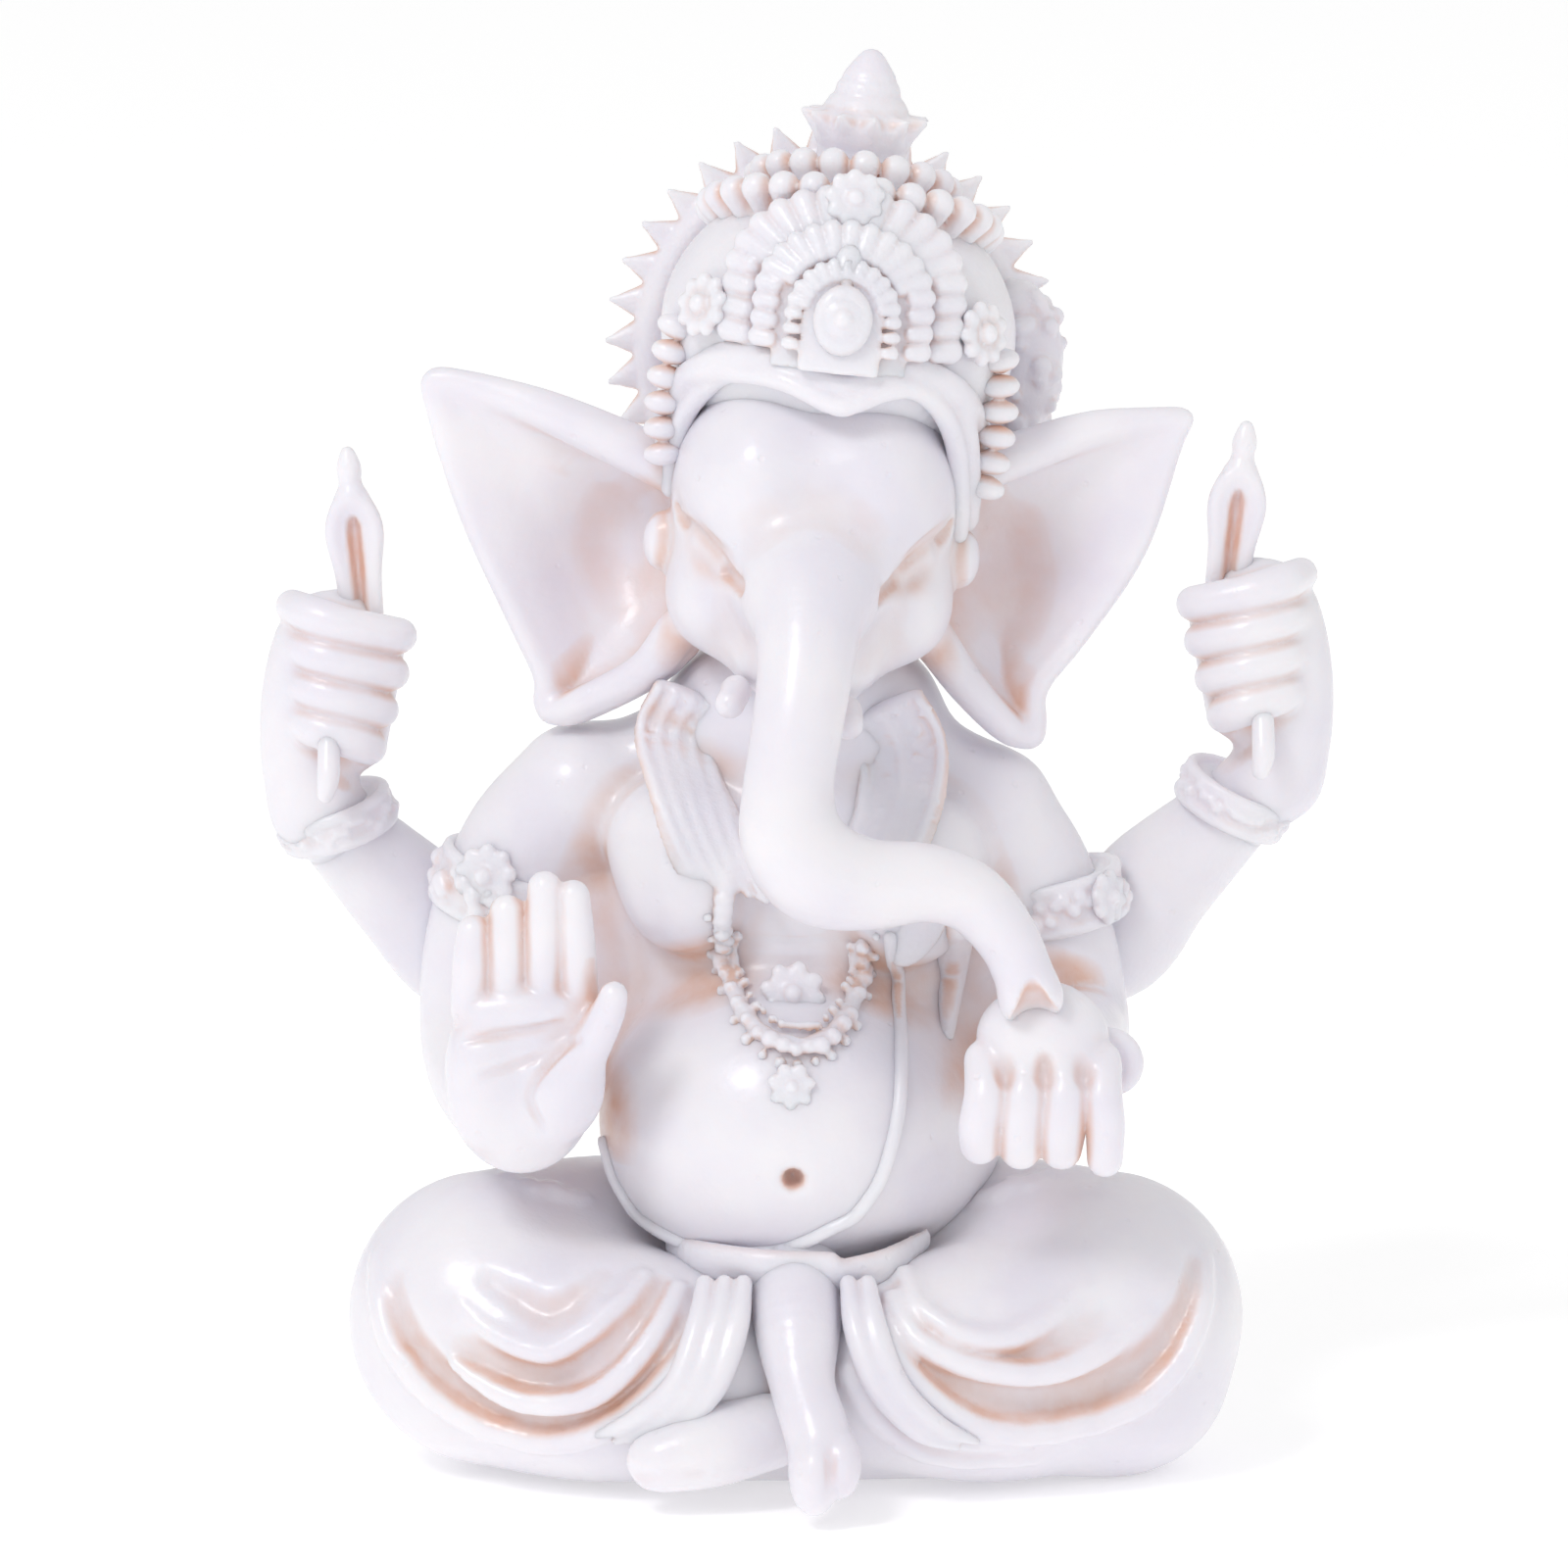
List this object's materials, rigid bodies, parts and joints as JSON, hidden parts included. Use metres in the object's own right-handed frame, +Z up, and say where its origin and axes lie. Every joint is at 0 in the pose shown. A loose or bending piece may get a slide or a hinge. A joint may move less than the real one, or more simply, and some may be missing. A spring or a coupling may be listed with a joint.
{
  "type": "ganesha idol",
  "caption": "Small seated elephant-headed deity figure in satin white cast marble resin, with raised palm, trunk resting on the other hand, tall ornate crown and toothed halo, on a flat base.",
  "frame": {"origin": "middle of the base, on the surface that the figure rests on", "axes": "+Z up along the figure's height, -Y towards the front where the figure faces, +X towards the viewer's right, which is the figure's own left"},
  "size_m": [0.0725, 0.0418, 0.0967],
  "materials": {
    "smooth_body": "satin, slightly translucent cast marble-dust resin",
    "textured_cloth": "same casting with a fine rough relief",
    "crown_ornament": "same casting, satin, with fine relief"
  },
  "bodies": {
    "root": {"crown_band": "crown_ornament", "crown_bun": "crown_ornament", "crown_dome": "crown_ornament", "crown_fan_inner": "crown_ornament", "crown_fan_middle": "crown_ornament", "crown_fan_outer": "crown_ornament", "crown_finial": "crown_ornament", "crown_jewel": "crown_ornament", "crown_rosette_left": "crown_ornament", "crown_rosette_right": "crown_ornament", "crown_tier_lower": "crown_ornament", "crown_tier_upper": "crown_ornament", "dhoti_leg_left": "smooth_body", "dhoti_leg_right": "smooth_body", "dhoti_pleats_left": "smooth_body", "dhoti_pleats_right": "smooth_body", "ear_left": "smooth_body", "ear_right": "smooth_body", "foot_front": "smooth_body", "foot_side": "smooth_body", "front_left_armlet": "smooth_body", "front_left_bracelet": "smooth_body", "front_left_forearm": "smooth_body", "front_left_hand": "smooth_body", "front_left_upper_arm": "smooth_body", "front_right_armlet": "smooth_body", "front_right_forearm": "smooth_body", "front_right_hand": "smooth_body", "front_right_upper_arm": "smooth_body", "garland": "textured_cloth", "garland_pendant": "textured_cloth", "halo": "crown_ornament", "head": "smooth_body", "necklace_pendant": "textured_cloth", "rear_left_bracelet": "smooth_body", "rear_left_forearm": "smooth_body", "rear_left_hand": "smooth_body", "rear_left_noose": "smooth_body", "rear_left_noose_handle": "smooth_body", "rear_left_upper_arm": "smooth_body", "rear_right_bracelet": "smooth_body", "rear_right_forearm": "smooth_body", "rear_right_hand": "smooth_body", "rear_right_noose": "smooth_body", "rear_right_noose_handle": "smooth_body", "rear_right_upper_arm": "smooth_body", "sacred_thread": "smooth_body", "seat": "smooth_body", "stole_left": "textured_cloth", "stole_right": "textured_cloth", "temple_beads_left": "crown_ornament", "temple_beads_right": "crown_ornament", "torso": "smooth_body", "trunk": "smooth_body", "tusk_left": "smooth_body", "tusk_right": "smooth_body", "waist_sash": "textured_cloth"}
  },
  "joints": []
}
